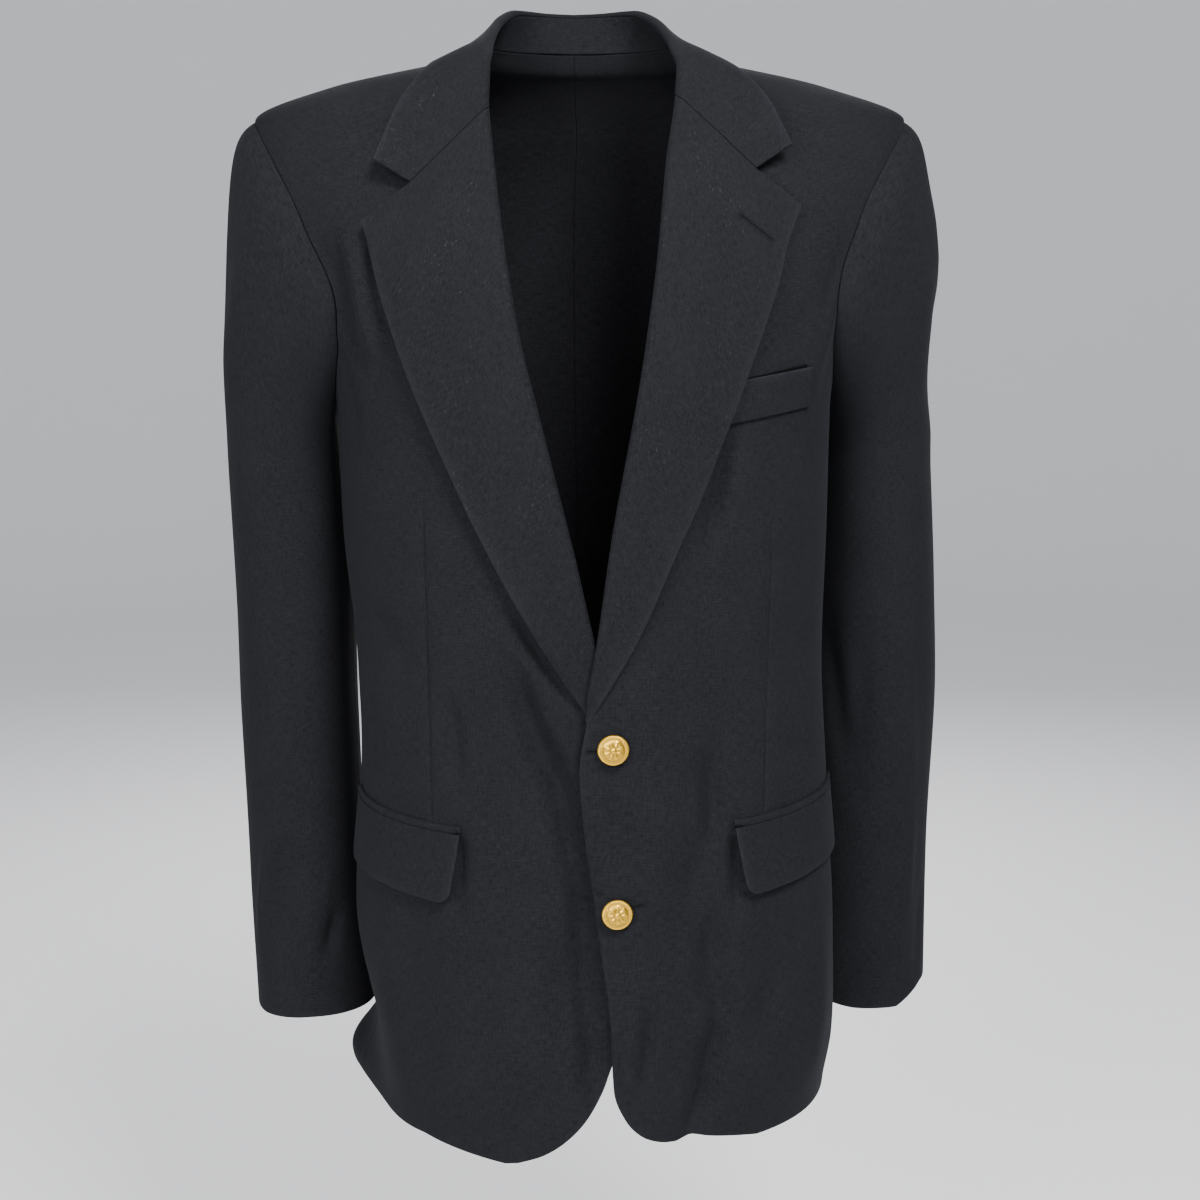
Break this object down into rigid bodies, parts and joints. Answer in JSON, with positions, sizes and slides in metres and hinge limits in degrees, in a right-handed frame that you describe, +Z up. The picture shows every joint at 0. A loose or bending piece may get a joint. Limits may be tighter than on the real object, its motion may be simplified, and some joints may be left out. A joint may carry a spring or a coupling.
{
  "type": "blazer",
  "caption": "Single-breasted blazer with notch lapels, flap hip pockets, a breast welt and gold metal buttons, in the hollow form it takes when worn.",
  "frame": {"origin": "centre of the neck hole at the height of the neck points, where the wearer's shoulders carry the coat", "axes": "+Z up, -Y the coat's front, +X the wearer's left"},
  "size_m": [0.5551, 0.2732, 0.8264],
  "materials": {
    "wool_cloth": "fine wool weave, near-black charcoal, matt",
    "gold_metal": "polished gold colour"
  },
  "bodies": {
    "root": {"back_left": "wool_cloth", "back_right": "wool_cloth", "side_left": "wool_cloth", "side_right": "wool_cloth", "front_left": "wool_cloth", "front_right": "wool_cloth", "lapel_left": "wool_cloth", "lapel_right": "wool_cloth", "collar_fall": "wool_cloth", "collar_stand": "wool_cloth", "top_sleeve_left": "wool_cloth", "under_sleeve_left": "wool_cloth", "top_sleeve_right": "wool_cloth", "under_sleeve_right": "wool_cloth", "pocket_jet_left": "wool_cloth", "pocket_flap_left": "wool_cloth", "pocket_jet_right": "wool_cloth", "pocket_flap_right": "wool_cloth", "breast_welt": "wool_cloth", "button_upper": "gold_metal", "button_lower": "gold_metal"}
  },
  "joints": []
}
